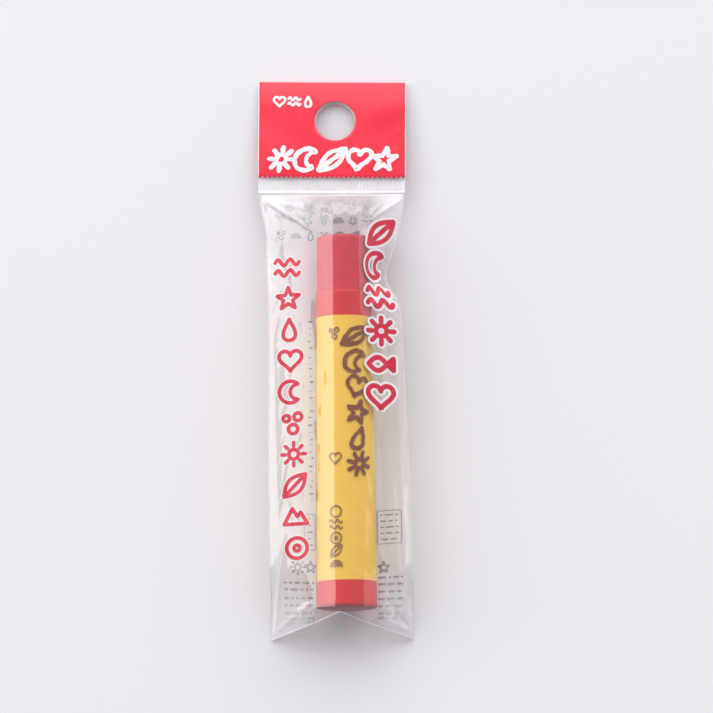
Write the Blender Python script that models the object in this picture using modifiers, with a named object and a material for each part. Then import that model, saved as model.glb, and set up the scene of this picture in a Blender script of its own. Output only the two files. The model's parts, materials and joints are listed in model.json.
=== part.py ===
"""A fat oil-pastel crayon in its clear hanging pouch.

The stick is bare at its head and wound in a paper wrapper below. It lies loose in a pouch of two film
panels, joined by a fused bead down each side and by a fold across the foot. The pouch's ribbed top seal
is clamped in a folded card header with a hang hole.

X runs across the pouch, +Y along the crayon to the header, +Z up from the table that the pouch lies on.
The origin is the middle of the bounding box in X and Y, at table height.
"""

import math

import bmesh
import bpy
from mathutils import Vector

MM = 0.001

# Pigment stick: a cone frustum, thicker at its foot
STICK_LENGTH = 67.6 * MM
STICK_FOOT_R = 5.30 * MM
STICK_HEAD_R = 4.80 * MM
STICK_EDGE = 0.45 * MM  # rounding of both rims
STICK_STEPS = 48
EDGE_STEPS = 4

# Paper wrapper: one strip, wound a little over one turn, with its lap under the crayon
PAPER = 0.10 * MM
PAPER_GAP = 0.05 * MM  # between the stick and the paper, and between its layers
WRAPPER_START = 0.10 * MM  # up from the stick's foot
WRAPPER_END = 57.4 * MM
WRAPPER_TURNS = 1.16
WRAPPER_STEPS = 64
LAP_ANGLE = math.radians(-125.0)  # where the inner end of the strip lies

# Where the crayon lies in the pouch
CRAYON_X = 1.6 * MM
FOOT_Y = -46.05 * MM
HEAD_Y = FOOT_Y + STICK_LENGTH

# Film pouch
FILM = 0.12 * MM
SKIN_GAP = 0.20 * MM  # between the wrapper and the front film
BED_GAP = 0.10 * MM  # between the wrapper and the back film
HALF_LENGTH = 51.15 * MM  # half of the whole package's length
HALF_WIDTH = 13.8 * MM
BEAD_R = 0.15 * MM
FILM_INSET = 0.55 * MM  # from the pouch's outline in to the films' side edges
LAYER_GAP = 0.16 * MM  # from the beads' plane up or down to each film along the edges
CORNER_Z = FILM / 2 + LAYER_GAP  # height of the pouch's foot corners, which rest on the table
EDGE_Z = 5.2 * MM  # height of the side edges beside the crayon
EDGE_CLIMB = 14.0 * MM  # they climb to it over this length from the foot corners
EDGE_FALL_Y = 5.0 * MM  # and from here they fall to the ridge
BED_HALF = 2.0 * MM  # half width of the flat strip of back film under the crayon
ROUND_STEPS = 12  # across the film where it goes over the crayon
SIDE_STEPS = 5  # across each flat side
BACK_STEPS = 8  # across the back film, from each edge to the strip under the crayon

# Half widths of the pouch, by distance along Y
OUTLINE = (
    (-HALF_LENGTH, 13.0 * MM),
    (-25.3 * MM, 12.85 * MM),
    (9.6 * MM, 12.1 * MM),
    (21.6 * MM, 12.1 * MM),
    (30.3 * MM, 13.3 * MM),
)

# Fold across the foot: low at its corners, and drawn up to a blunt peak in front of the crayon's end
FOLD_R = 0.10 * MM
FOLD_TAIL = 0.13 * MM  # how far the fold's own ends are already drawn up
FOLD_Y = -HALF_LENGTH + FOLD_R - FOLD_TAIL
FOLD_PULL = 4.5 * MM
FOLD_LIFT = 10.4 * MM
FOLD_POWER = 0.85
FOLD_BLUNT = 0.6 * MM
FOLD_PEAK_X = 0.3 * MM
TURN_Y = FOOT_Y - 0.25 * MM  # where the films turn in towards the fold
FOLD_STOP = 0.30 * MM  # the films stop this far from the fold's centre line
FOLD_ROWS = 5
BODY_ROWS = 12
SHOULDER_ROWS = 9

# Card header, folded over its top edge and hinged by the film at the pouch's ridge
CARD = 0.15 * MM
CARD_R = 0.30 * MM  # of the card's middle at the top fold
HEADER_HALF = 13.45 * MM
HEADER_SKEW = math.radians(-0.9)  # the header sits slightly askew on the pouch
HEADER_TOP = 20.9 * MM  # from the hinge
HEADER_FOOT = 2.5 * MM
HOLE_R = 3.68 * MM
HOLE_X = 0.55 * MM
HOLE_Y = 13.4 * MM
TOOTH_PITCH = 0.88 * MM
TOOTH_DEPTH = 0.50 * MM
RIDGE_Z = 2.75 * MM
RIDGE_CLEAR = 0.35 * MM  # round the hinge line, kept free by films and seal
SEAL = 0.16 * MM
SEAL_TOP = 6.2 * MM
RIB_PITCH = 0.62 * MM
RIB_HEIGHT = 0.04 * MM

# The header lies from the ridge down to the table, where its fold rests
HEADER_OUTER = CARD_R + CARD / 2
HEADER_SLOPE = math.asin((RIDGE_Z - HEADER_OUTER) / (HEADER_TOP - HEADER_OUTER))
HEADER_RUN = (HEADER_TOP - HEADER_OUTER) * math.cos(HEADER_SLOPE) * math.cos(HEADER_SKEW)
RIDGE_Y = HALF_LENGTH - HEADER_OUTER - HEADER_RUN + HEADER_HALF * math.sin(HEADER_SKEW)
HEADER_RISE = HEADER_FOOT * math.cos(HEADER_SLOPE)
HEADER_X = HEADER_HALF * math.cos(HEADER_SKEW) - HALF_WIDTH + HEADER_RISE * math.sin(HEADER_SKEW)
SHOULDER_END = RIDGE_Y - RIDGE_CLEAR
POUCH_FOOT_X = HALF_WIDTH - OUTLINE[0][1]

STICK_TILT = math.atan2(STICK_FOOT_R - STICK_HEAD_R, STICK_LENGTH)
LAP_R = 2 * (PAPER_GAP + PAPER)  # the wrapper's thickness over the stick at its lap
FOOT_AXIS_Z = FILM + BED_GAP + STICK_FOOT_R + LAP_R

RED_PIGMENT = (0.52, 0.035, 0.055)
YELLOW_PAPER = (0.86, 0.55, 0.08)
CLEAR_FILM = (0.90, 0.89, 0.90)
RED_CARD = (0.85, 0.03, 0.07)


def clear_scene():
    for item in list(bpy.data.objects):
        bpy.data.objects.remove(item, do_unlink=True)


def new_collection(name):
    group = bpy.data.collections.new(name)
    bpy.context.scene.collection.children.link(group)
    return group


def material(name, colour, roughness, alpha=1.0):
    mat = bpy.data.materials.new(name)
    mat.use_nodes = True
    shader = mat.node_tree.nodes["Principled BSDF"]
    shader.inputs["Base Color"].default_value = (*colour, 1.0)
    shader.inputs["Roughness"].default_value = roughness
    shader.inputs["Metallic"].default_value = 0.0
    shader.inputs["Alpha"].default_value = alpha
    return mat


def add_empty(name, group, place, turn_x, turn_z=0.0):
    empty = bpy.data.objects.new(name, None)
    group.objects.link(empty)
    empty.location = place
    empty.rotation_euler.x = turn_x
    empty.rotation_euler.z = turn_z
    return empty


def add_object(name, data, group, mat=None, parent=None):
    item = bpy.data.objects.new(name, data)
    group.objects.link(item)
    item.parent = parent
    if mat:
        data.materials.append(mat)
    return item


def hide_cutter(item):
    item.hide_render = True
    item.display_type = "WIRE"


def smooth_step(value):
    value = min(max(value, 0.0), 1.0)
    return value * value * (3 - 2 * value)


def blend(a, b, share):
    return a + (b - a) * share


def sheet(name, rows, thickness, group, mat, parent=None):
    """A thin sheet through rows of points, thickened to both sides alike."""
    mesh = bpy.data.meshes.new(name)
    grid = bmesh.new()
    lines = [[grid.verts.new(point) for point in row] for row in rows]
    for low, high in zip(lines, lines[1:]):
        for i in range(len(low) - 1):
            grid.faces.new((low[i], low[i + 1], high[i + 1], high[i]))
    grid.to_mesh(mesh)
    grid.free()
    mesh.shade_smooth()
    item = add_object(name, mesh, group, mat, parent)
    shell = item.modifiers.new("Solidify", "SOLIDIFY")
    shell.thickness = thickness
    shell.offset = 0.0
    return item


def bead(name, points, radius, group, mat):
    """A fused bead of film: a round wire along a polyline."""
    curve = bpy.data.curves.new(name, "CURVE")
    curve.dimensions = "3D"
    curve.bevel_depth = radius
    curve.bevel_resolution = 2
    curve.use_fill_caps = True
    line = curve.splines.new("POLY")
    line.points.add(len(points) - 1)
    for spot, point in zip(line.points, points):
        spot.co = (*point, 1.0)
    return add_object(name, curve, group, mat)


def flat_mesh(name, outline, half_thickness):
    """The mesh of a flat outline in XY, extruded to both sides."""
    curve = bpy.data.curves.new(name, "CURVE")
    curve.dimensions = "2D"
    curve.fill_mode = "BOTH"
    curve.extrude = half_thickness
    line = curve.splines.new("POLY")
    line.points.add(len(outline) - 1)
    for spot, (x, y) in zip(line.points, outline):
        spot.co = (x, y, 0.0, 1.0)
    line.use_cyclic_u = True
    item = bpy.data.objects.new(name, curve)
    bpy.context.scene.collection.objects.link(item)
    bpy.context.view_layer.update()
    ready = item.evaluated_get(bpy.context.evaluated_depsgraph_get())
    mesh = bpy.data.meshes.new_from_object(ready)
    bpy.data.objects.remove(item, do_unlink=True)
    bpy.data.curves.remove(curve)
    welded = bmesh.new()
    welded.from_mesh(mesh)
    bmesh.ops.remove_doubles(welded, verts=welded.verts, dist=0.001 * MM)
    bmesh.ops.recalc_face_normals(welded, faces=welded.faces)
    welded.to_mesh(mesh)
    welded.free()
    return mesh


# Crayon


def stick_radius(along):
    """The stick's radius at a distance up from its foot."""
    return blend(STICK_FOOT_R, STICK_HEAD_R, along / STICK_LENGTH)


def rim(centre_x, centre_y, first_angle):
    """A quarter round of the stick's profile, turning down and outwards."""
    points = []
    for i in range(EDGE_STEPS + 1):
        angle = first_angle - math.pi / 2 * i / EDGE_STEPS
        x = centre_x + STICK_EDGE * math.cos(angle)
        y = centre_y + STICK_EDGE * math.sin(angle)
        points.append((x, y))
    return points


def add_stick(group, mat, parent):
    head_rim = rim(STICK_HEAD_R - STICK_EDGE, STICK_LENGTH - STICK_EDGE, math.pi / 2)
    foot_rim = rim(STICK_FOOT_R - STICK_EDGE, STICK_EDGE, 0.0)
    profile = [(0.0, STICK_LENGTH), *head_rim, *foot_rim, (0.0, 0.0)]
    mesh = bpy.data.meshes.new("pigment_stick")
    edges = [(i, i + 1) for i in range(len(profile) - 1)]
    mesh.from_pydata([(x, y, 0.0) for x, y in profile], edges, [])
    item = add_object("pigment_stick", mesh, group, mat, parent)
    turn = item.modifiers.new("Screw", "SCREW")
    turn.axis = "Y"
    turn.steps = STICK_STEPS
    turn.render_steps = STICK_STEPS
    turn.use_merge_vertices = True
    turn.merge_threshold = 0.001 * MM
    turn.use_normal_calculate = True
    turn.use_smooth_shade = True
    return item


def add_wrapper(group, mat, parent):
    """The strip's inner end lies on the stick, and its outer end laps over that."""
    rows = []
    for along in (WRAPPER_START, WRAPPER_END):
        row = []
        for i in range(WRAPPER_STEPS + 1):
            turns = WRAPPER_TURNS * i / WRAPPER_STEPS
            climb = smooth_step((turns - (2 - WRAPPER_TURNS)) / (WRAPPER_TURNS - 1))
            radius = stick_radius(along) + PAPER_GAP + PAPER / 2 + climb * (PAPER_GAP + PAPER)
            angle = LAP_ANGLE - 2 * math.pi * turns
            row.append((radius * math.cos(angle), along, radius * math.sin(angle)))
        rows.append(row)
    return sheet("paper_wrapper", rows, PAPER, group, mat, parent)


# Pouch


def half_width(y):
    """Half of the pouch's width at y, eased from each outline point to the next."""
    for (y0, w0), (y1, w1) in zip(OUTLINE, OUTLINE[1:]):
        if y <= y1:
            return blend(w0, w1, smooth_step((y - y0) / (y1 - y0)))
    return OUTLINE[-1][1]


def middle_x(y):
    """The pouch runs slightly askew from the header to its foot."""
    return blend(POUCH_FOOT_X, HEADER_X, (y + HALF_LENGTH) / (RIDGE_Y + HALF_LENGTH))


def bead_z(y):
    """Height of the side edges: on the table at the foot's corners, and level with the ridge at the header."""
    climb = blend(CORNER_Z, EDGE_Z, smooth_step((y - FOLD_Y) / EDGE_CLIMB))
    return blend(climb, RIDGE_Z, smooth_step((y - EDGE_FALL_Y) / (RIDGE_Y - EDGE_FALL_Y)))


def edge_x(y, side):
    return middle_x(y) + side * (half_width(y) - FILM_INSET)


def arch(y):
    """Points across the front film: flat from one edge, round over the crayon, and flat to the other."""
    crayon_y = min(max(y, FOOT_Y), HEAD_Y)
    along = crayon_y - FOOT_Y
    centre = Vector((CRAYON_X, FOOT_AXIS_Z - along * math.tan(STICK_TILT)))
    radius = stick_radius(along) + PAPER_GAP + PAPER + SKIN_GAP + FILM / 2
    edge_z = bead_z(y) + LAYER_GAP
    tangents = []
    for side in (-1, 1):
        edge = Vector((edge_x(y, side), edge_z))
        reach = edge - centre
        from_level = math.atan2(reach.y, side * reach.x)
        tangents.append((edge, from_level + math.acos(radius / reach.length)))
    (left, left_angle), (right, right_angle) = tangents
    start = math.pi - left_angle
    over = [
        centre + radius * Vector((math.cos(angle), math.sin(angle)))
        for angle in (blend(start, right_angle, i / ROUND_STEPS) for i in range(ROUND_STEPS + 1))
    ]
    up = [left.lerp(over[0], i / SIDE_STEPS) for i in range(SIDE_STEPS)]
    down = [over[-1].lerp(right, i / SIDE_STEPS) for i in range(1, SIDE_STEPS + 1)]
    return up + over + down


def tent(y):
    """How far the films stand apart at y: from fully, along the crayon and just past it, to not at all."""
    share = min(max((y - HEAD_Y) / (SHOULDER_END - HEAD_Y), 0.0), 1.0)
    return (1 - share**4) ** (2 / 3)


def front_row(y):
    edge_z = bead_z(y) + LAYER_GAP
    return [Vector((p.x, y, blend(edge_z, p.y, tent(y)))) for p in arch(y)]


def back_row(y):
    """Points across the back film: up to both edges from the flat strip under the crayon."""
    edge_z = bead_z(y) - LAYER_GAP
    bed_z = blend(edge_z, FILM / 2, tent(y))
    bed_left, bed_right = CRAYON_X - BED_HALF, CRAYON_X + BED_HALF
    left, right = edge_x(y, -1), edge_x(y, 1)
    up = [(blend(left, bed_left, i / BACK_STEPS), 1 - i / BACK_STEPS) for i in range(BACK_STEPS + 1)]
    down = [(blend(bed_right, right, i / BACK_STEPS), i / BACK_STEPS) for i in range(BACK_STEPS + 1)]
    return [Vector((x, y, blend(bed_z, edge_z, rise))) for x, rise in up + down]


def fold_point(x):
    """The fold's centre line: up and in to its peak at the crayon's end, from both corners."""
    off = x - FOLD_PEAK_X
    corner = POUCH_FOOT_X - FOLD_PEAK_X + math.copysign(OUTLINE[0][1], off)
    drawn = 1 - min(math.hypot(off, FOLD_BLUNT) / abs(corner), 1.0) ** FOLD_POWER
    return Vector((x, FOLD_Y + FOLD_PULL * drawn, CORNER_Z + FOLD_LIFT * drawn))


def rows_to_fold(row, side):
    """Rows from the turn down to just short of the fold, above it or below."""
    shares = [(i + 1) / FOLD_ROWS for i in range(FOLD_ROWS)]
    ends = []
    for point in row:
        target = fold_point(point.x) + Vector((0, 0, side * LAYER_GAP))
        way = target - point
        ends.append(target - way.normalized() * FOLD_STOP)
    return [[point.lerp(end, share) for point, end in zip(row, ends)] for share in shares]


def stations(first, last, count):
    return [blend(first, last, i / count) for i in range(count + 1)]


def film_rows(make_row, side):
    """Rows of a film panel, from the fold up over the crayon to the ridge."""
    foot = rows_to_fold(make_row(TURN_Y), side)
    body = [make_row(y) for y in stations(TURN_Y, HEAD_Y, BODY_ROWS)]
    quarter = stations(0.0, math.pi / 2, SHOULDER_ROWS)[1:]
    shoulder = [make_row(blend(HEAD_Y, SHOULDER_END, math.sin(angle))) for angle in quarter]
    return foot[::-1] + body + shoulder


def add_films(group, mat):
    sheet("front_film", film_rows(front_row, 1), FILM, group, mat)
    sheet("back_film", film_rows(back_row, -1), FILM, group, mat)


def add_side_beads(group, mat):
    for name, side in (("left_side_weld", -1), ("right_side_weld", 1)):
        points = [
            (middle_x(y) + side * (half_width(y) - BEAD_R), y, bead_z(y))
            for y in stations(FOLD_Y + 3 * BEAD_R, SHOULDER_END - BEAD_R, 22)
        ]
        bead(name, points, BEAD_R, group, mat)


def add_bottom_fold(group, mat):
    reach = half_width(FOLD_Y) - 3 * BEAD_R
    points = [fold_point(POUCH_FOOT_X + x) for x in stations(-reach, reach, 24)]
    bead("bottom_fold", points, FOLD_R, group, mat)


# Header


def add_seal(group, mat, parent):
    """The two films' tops, fused flat between ribbed jaws."""
    ribs = 2 * round(HEADER_HALF / RIB_PITCH)
    inner = HEADER_HALF - FILM_INSET
    rows = []
    for y in (RIDGE_CLEAR, SEAL_TOP):
        row = []
        for i in range(2 * ribs + 1):
            lift = RIB_HEIGHT if i % 2 else -RIB_HEIGHT
            row.append((blend(-inner, inner, i / (2 * ribs)), y, lift))
        rows.append(row)
    return sheet("top_seal_band", rows, SEAL, group, mat, parent)


def header_profile():
    """The folded card from the front panel's foot, round the top fold, to the back panel's foot."""
    top = HEADER_TOP - HEADER_OUTER
    turn = [
        (top + CARD_R * math.sin(angle), CARD_R * math.cos(angle))
        for angle in stations(0.0, math.pi, 8)
    ]
    return [(HEADER_FOOT, CARD_R), *turn, (HEADER_FOOT + TOOTH_DEPTH, -CARD_R)]


def add_cut(item, cutter):
    cut = item.modifiers.new("Boolean", "BOOLEAN")
    cut.operation = "DIFFERENCE"
    cut.object = cutter
    cut.solver = "EXACT"


def add_hole_cutter(cutters, parent):
    mesh = bpy.data.meshes.new("hang_hole_cutter")
    drill = bmesh.new()
    bmesh.ops.create_cone(
        drill, cap_ends=True, segments=40, radius1=HOLE_R, radius2=HOLE_R, depth=4 * CARD_R
    )
    drill.to_mesh(mesh)
    drill.free()
    cutter = add_object("hang_hole_cutter", mesh, cutters, parent=parent)
    cutter.location = (HOLE_X, HOLE_Y, 0.0)
    hide_cutter(cutter)
    return cutter


def add_tooth_cutter(cutters, parent):
    """A strip that leaves a zigzag along the front panel's lower edge."""
    teeth = round(2 * HEADER_HALF / TOOTH_PITCH)
    pitch = 2 * HEADER_HALF / teeth
    margin = TOOTH_PITCH
    outline = [(-HEADER_HALF - margin, HEADER_FOOT - margin)]
    outline.append((HEADER_HALF + margin, HEADER_FOOT - margin))
    outline.append((HEADER_HALF + margin, HEADER_FOOT))
    for i in range(2 * teeth, -1, -1):
        y = HEADER_FOOT + (TOOTH_DEPTH if i % 2 else 0.02 * MM)
        outline.append((-HEADER_HALF + i * pitch / 2, y))
    outline.append((-HEADER_HALF - margin, HEADER_FOOT))
    mesh = flat_mesh("tooth_cutter", outline, CARD)
    cutter = add_object("tooth_cutter", mesh, cutters, parent=parent)
    cutter.location.z = CARD_R
    hide_cutter(cutter)
    return cutter


def add_header(group, cutters, mat, parent):
    rows = [
        [(x, y, z) for x in (HEADER_HALF, -HEADER_HALF)]
        for y, z in header_profile()
    ]
    strip = sheet("header_strip", rows, CARD, group, mat, parent)
    add_cut(strip, add_hole_cutter(cutters, parent))
    add_cut(strip, add_tooth_cutter(cutters, parent))
    return strip


def build():
    clear_scene()
    group = new_collection("packaged_crayon")
    cutters = new_collection("cutters")
    pigment = material("red_pigment", RED_PIGMENT, 0.55)
    paper = material("label_paper", YELLOW_PAPER, 0.6)
    film = material("clear_film", CLEAR_FILM, 0.08, alpha=0.2)
    card = material("red_card", RED_CARD, 0.3)

    crayon = add_empty("crayon_axis", group, (CRAYON_X, FOOT_Y, FOOT_AXIS_Z), -STICK_TILT)
    add_stick(group, pigment, crayon)
    add_wrapper(group, paper, crayon)

    add_films(group, film)
    add_side_beads(group, film)
    add_bottom_fold(group, film)

    hinge = add_empty("header_hinge", group, (HEADER_X, RIDGE_Y, RIDGE_Z), -HEADER_SLOPE, HEADER_SKEW)
    add_seal(group, film, hinge)
    add_header(group, cutters, card, hinge)


build()
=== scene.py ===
"""The looks of the packaged crayon.

A waxy pigment stick in a printed paper wrapper lies in a pouch of clear, creased film. The film's own
prints, the ribbed seal and the folded red header are separate pieces. Every mark is a plain doodle.
"""

import json
import math
import random

import bmesh
import bpy
from mathutils import Matrix, Vector, noise


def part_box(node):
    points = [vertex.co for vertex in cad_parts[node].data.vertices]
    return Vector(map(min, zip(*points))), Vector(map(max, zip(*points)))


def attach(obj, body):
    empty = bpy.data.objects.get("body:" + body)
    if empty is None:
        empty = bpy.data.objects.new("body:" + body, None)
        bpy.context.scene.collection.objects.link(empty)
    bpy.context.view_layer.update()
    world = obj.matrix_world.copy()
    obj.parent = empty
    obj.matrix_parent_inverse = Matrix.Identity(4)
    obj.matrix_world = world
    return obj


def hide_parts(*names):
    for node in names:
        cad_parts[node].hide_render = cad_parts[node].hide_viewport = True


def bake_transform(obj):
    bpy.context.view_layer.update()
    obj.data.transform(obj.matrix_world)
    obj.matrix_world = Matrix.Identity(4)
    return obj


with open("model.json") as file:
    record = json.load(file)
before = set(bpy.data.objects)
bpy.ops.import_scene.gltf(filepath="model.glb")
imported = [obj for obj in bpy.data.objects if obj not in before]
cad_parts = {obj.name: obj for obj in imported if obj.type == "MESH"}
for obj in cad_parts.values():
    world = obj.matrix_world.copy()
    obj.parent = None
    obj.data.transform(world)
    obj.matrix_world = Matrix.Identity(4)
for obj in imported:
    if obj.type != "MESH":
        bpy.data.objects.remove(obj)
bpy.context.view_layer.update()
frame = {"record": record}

MM = 0.001
JOINTS = {joint["name"]: joint for joint in frame["record"]["behaviour"]["joints"]}

# Crayon, from its CAD box
STICK_LOW, STICK_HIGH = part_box("pigment_stick")
STICK_LENGTH = 67.6 * MM
FOOT_R = (STICK_HIGH.x - STICK_LOW.x) / 2
HEAD_R = 4.8 * MM
STICK_EDGE = 0.45 * MM
STICK_TILT = math.atan2(FOOT_R - HEAD_R, STICK_LENGTH)
CRAYON_X = (STICK_LOW.x + STICK_HIGH.x) / 2
FOOT_Z = STICK_HIGH.z - FOOT_R
FOOT_Y = STICK_HIGH.y - STICK_LENGTH
HEAD_Y = STICK_HIGH.y
CRAYON_PLACE = Matrix.Translation((CRAYON_X, FOOT_Y, FOOT_Z)) @ Matrix.Rotation(-STICK_TILT, 4, "X")

# Paper wrapper
PAPER = 0.10 * MM
PAPER_GAP = 0.05 * MM
WRAPPER_START = 0.10 * MM
WRAPPER_END = 57.4 * MM
WRAPPER_TURNS = 1.16
LAP_ANGLE = math.radians(-125.0)
FOOT_BAND = 4.7 * MM  # the printed red bands end here, from the stick's foot
HEAD_BAND = 52.7 * MM

# Pouch
RIDGE = Vector(JOINTS["header_bend"]["pos_m"])
HALF_LENGTH = 51.15 * MM
HALF_WIDTH = 13.8 * MM
CORNER_Z = 0.22 * MM
EDGE_Z = 5.2 * MM  # height of the side edges beside the crayon
EDGE_CLIMB = 14.0 * MM
EDGE_FALL_Y = 5.0 * MM
PINCH = 2.6 * MM  # the right edge is drawn in this far beside the crayon's head
PINCH_Y = 14.3 * MM
BED_HALF = 2.0 * MM
FILM_CLEAR = 0.26 * MM  # from the paper to the front film
# Half widths of the pouch, by distance along y
OUTLINE = (
    (-HALF_LENGTH, 13.0 * MM),
    (-25.3 * MM, 12.85 * MM),
    (9.6 * MM, 12.1 * MM),
    (21.6 * MM, 12.1 * MM),
    (30.3 * MM, 13.3 * MM),
)
FOLD_Y = -HALF_LENGTH - 0.03 * MM
FOLD_PULL = 4.5 * MM  # how far the foot's fold is drawn towards the crayon at its peak
FOLD_LIFT = 10.4 * MM  # and how far up
FOLD_POWER = 0.85
FOLD_BLUNT = 0.6 * MM
FOLD_PEAK_X = 0.3 * MM
TURN_Y = FOOT_Y - 0.25 * MM
WEB_HALF = 0.35 * MM  # the ridge's web reaches this far to both sides of the hinge
SHOULDER_END = RIDGE.y - WEB_HALF
FOOT_X = HALF_WIDTH - OUTLINE[0][1]

# Creases of the front film in mm: start, end, height and width
CREASES = (
    ((-13.2, 29.3), (-3.0, 21.8), 0.42, 0.40),
    ((12.4, 28.8), (3.4, 21.9), 0.38, 0.40),
    ((-12.6, 28.4), (-4.4, 20.6), -0.14, 0.60),
    ((-9.0, 29.6), (-1.0, 24.2), -0.12, 0.70),
    ((9.4, 29.4), (4.6, 24.6), -0.14, 0.70),
    ((-12.8, 26.5), (-7.6, 11.0), 0.26, 0.70),
    ((11.4, 26.0), (7.8, 16.5), 0.34, 0.50),
    ((8.9, 17.6), (6.4, 12.0), -0.38, 0.60),
    ((9.0, 12.0), (6.6, 8.0), 0.30, 0.50),
    ((-11.4, 9.0), (-10.6, -30.0), 0.20, 0.70),
    ((-9.6, -33.0), (-11.6, -49.8), 0.50, 0.40),
    ((-10.9, -36.0), (-12.0, -50.0), -0.25, 0.45),
    ((11.2, -4.0), (12.0, -42.0), 0.24, 0.40),
    ((10.2, -24.0), (11.4, -44.0), 0.26, 0.35),
    ((7.8, -12.0), (8.4, -36.0), -0.14, 0.90),
    ((-12.0, -50.4), (-5.4, -45.4), 0.34, 0.45),
    ((13.2, -50.2), (6.4, -46.8), 0.36, 0.40),
    ((12.6, -49.2), (8.8, -44.6), -0.24, 0.50),
)
CREASE_MARGIN = 2.6  # how far in mm a crease reaches past its ends along y

# Header
CARD = 0.15 * MM
CARD_R = 0.30 * MM
HEADER_HALF = 13.45 * MM
HEADER_TOP = 20.9 * MM
HEADER_FOOT = 2.5 * MM
HOLE_R = 3.68 * MM
HOLE = Vector((0.55 * MM, 13.4 * MM))
TOOTH_PITCH = 0.88 * MM
TOOTH_DEPTH = 0.50 * MM
TOOTH_STEPS = 6  # points along each tooth
TEETH = round(2 * HEADER_HALF / TOOTH_PITCH)
HEADER_OUTER = CARD_R + CARD / 2
HEADER_SLOPE = math.asin((RIDGE.z - HEADER_OUTER) / (HEADER_TOP - HEADER_OUTER))
HEADER_SKEW = math.radians(-0.9)
HEADER_TURN = Matrix.Rotation(HEADER_SKEW, 4, "Z") @ Matrix.Rotation(-HEADER_SLOPE, 4, "X")
HEADER_PLACE = Matrix.Translation(RIDGE) @ HEADER_TURN
SEAL_TOP = 6.2 * MM
RIB_PITCH = 0.62 * MM
RIB_HEIGHT = 0.045 * MM

# Creases of the header's front in mm: start, end and height
HEADER_CREASES = (
    ((4.2, 3.2), (12.6, 8.6), 0.05),
    ((6.6, 5.6), (12.9, 4.6), -0.04),
    ((-12.6, 3.4), (-10.2, 10.0), 0.04),
    ((9.4, 9.6), (12.8, 11.8), 0.035),
)

# Prints
INK_LIFT = 0.012 * MM
STROKE_RISE = 0.003 * MM
HALO_LIFT = 0.025 * MM
FILM_INK_LIFT = 0.055 * MM
BACK_INK_LIFT = 0.03 * MM

# Film's gloss, and mesh steps
TWO_FACES_GLOSS = 0.077  # what a film's two faces reflect straight on
STICK_SIDES = 144
HEADER_COLUMNS = 60  # along the header's top fold

# Camera and light
CAMERA_AIM = Vector((3.8, 0.45, 0.0)) * MM
CAMERA_RISE = math.radians(82.5)
CAMERA_ROLL = math.radians(0.62)
CAMERA_FAR = 1.26
FOCAL = 350.0


def smooth_step(value):
    value = min(max(value, 0.0), 1.0)
    return value * value * (3 - 2 * value)


def blend(a, b, share):
    return a + (b - a) * share


def stations(first, last, count):
    return [blend(first, last, i / count) for i in range(count + 1)]


def grain(x, y, z=0.0):
    return noise.noise(Vector((x, y, z)))


# Meshes


def new_object(name, mesh, *mats):
    item = bpy.data.objects.new(name, mesh)
    bpy.context.scene.collection.objects.link(item)
    for mat in mats:
        mesh.materials.append(mat)
    return item


def grid_mesh(name, rows, closed=False):
    """A smooth mesh through rows of points; closed joins each row's ends."""
    wide = len(rows[0])
    verts = [point for row in rows for point in row]
    faces = []
    for j in range(len(rows) - 1):
        for i in range(wide if closed else wide - 1):
            k = (i + 1) % wide
            faces.append((j * wide + i, j * wide + k, (j + 1) * wide + k, (j + 1) * wide + i))
    mesh = bpy.data.meshes.new(name)
    mesh.from_pydata(verts, [], faces)
    mesh.shade_smooth()
    return mesh


def store_vectors(mesh, name, values):
    layer = mesh.attributes.new(name, "FLOAT_VECTOR", "POINT")
    layer.data.foreach_set("vector", [number for value in values for number in value])


# Materials


class Nodes:
    """A short way to write node trees."""

    def __init__(self, name):
        self.mat = bpy.data.materials.new(name)
        self.mat.use_nodes = True
        self.tree = self.mat.node_tree
        self.tree.nodes.clear()
        self.out = self.tree.nodes.new("ShaderNodeOutputMaterial")

    def add(self, kind, **inputs):
        node = self.tree.nodes.new("ShaderNode" + kind)
        for key, value in inputs.items():
            self.set(node, key.replace("_", " "), value)
        return node

    def set(self, node, key, value):
        socket = node.inputs[int(key)] if key.isdigit() else node.inputs[key]
        if isinstance(value, bpy.types.NodeSocket):
            self.tree.links.new(value, socket)
        else:
            socket.default_value = value

    def math(self, operation, a, b=0.0, clamp=False):
        node = self.tree.nodes.new("ShaderNodeMath")
        node.operation = operation
        node.use_clamp = clamp
        self.set(node, "0", a)
        self.set(node, "1", b)
        return node.outputs[0]

    def mix(self, share, a, b):
        node = self.tree.nodes.new("ShaderNodeMix")
        node.data_type = "RGBA"
        self.set(node, "0", share)
        self.set(node, "6", a)
        self.set(node, "7", b)
        return node.outputs[2]

    def ramp(self, value, low, high, start=0.0, end=1.0):
        node = self.add("MapRange", Value=value, From_Min=low, From_Max=high, To_Min=start, To_Max=end)
        return node.outputs[0]

    def noise(self, where, scale, detail=3.0, roughness=0.5):
        node = self.add("TexNoise", Vector=where, Scale=scale, Detail=detail, Roughness=roughness)
        return node.outputs[0]

    def stretched(self, where, scale):
        node = self.add("Mapping", Vector=where, Scale=scale)
        return node.outputs[0]

    def bump(self, height, strength, distance, normal=None):
        node = self.add("Bump", Strength=strength, Distance=distance, Height=height)
        if normal:
            self.set(node, "Normal", normal)
        return node.outputs[0]

    def place(self):
        return self.add("TexCoord").outputs["Object"]

    def attribute(self, name):
        node = self.tree.nodes.new("ShaderNodeAttribute")
        node.attribute_name = name
        return node.outputs["Vector"]

    def finish(self, shader):
        self.tree.links.new(shader, self.out.inputs["Surface"])
        return self.mat


def rgb(red, green, blue):
    return (red, green, blue, 1.0)


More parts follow.
